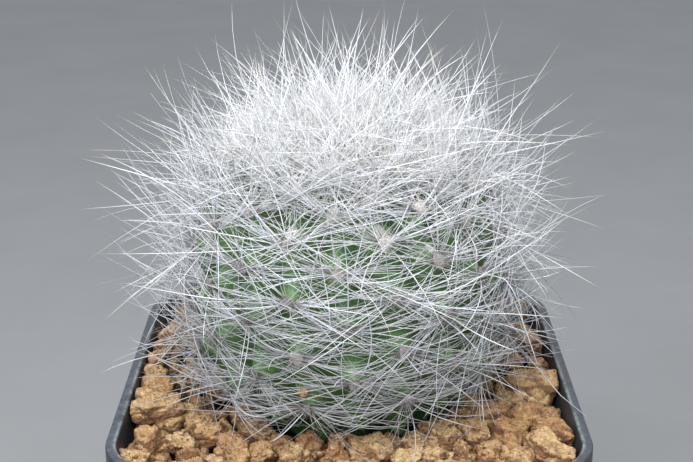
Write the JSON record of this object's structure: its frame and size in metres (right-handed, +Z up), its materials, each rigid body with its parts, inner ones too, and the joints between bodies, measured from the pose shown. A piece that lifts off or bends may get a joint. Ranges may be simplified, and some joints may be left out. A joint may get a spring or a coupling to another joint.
{
  "type": "potted eriosyce cactus",
  "caption": "Globular ribbed cactus with a dense net of white spines, in granular mix in a dark square plastic pot.",
  "frame": {"origin": "middle of the pot's flat underside", "axes": "+Z up along the plant, -Y the front that faces the viewer, +X to the viewer's right"},
  "size_m": [0.1026, 0.1032, 0.154],
  "materials": {
    "pot plastic": "satin",
    "granular mix": "matte",
    "green stem": "satin",
    "brown root": "matte",
    "white spines": "satin"
  },
  "bodies": {
    "root": {"pot": "pot plastic", "soil": "granular mix", "stem": "green stem", "root": "brown root", "spines": "white spines"}
  },
  "joints": []
}
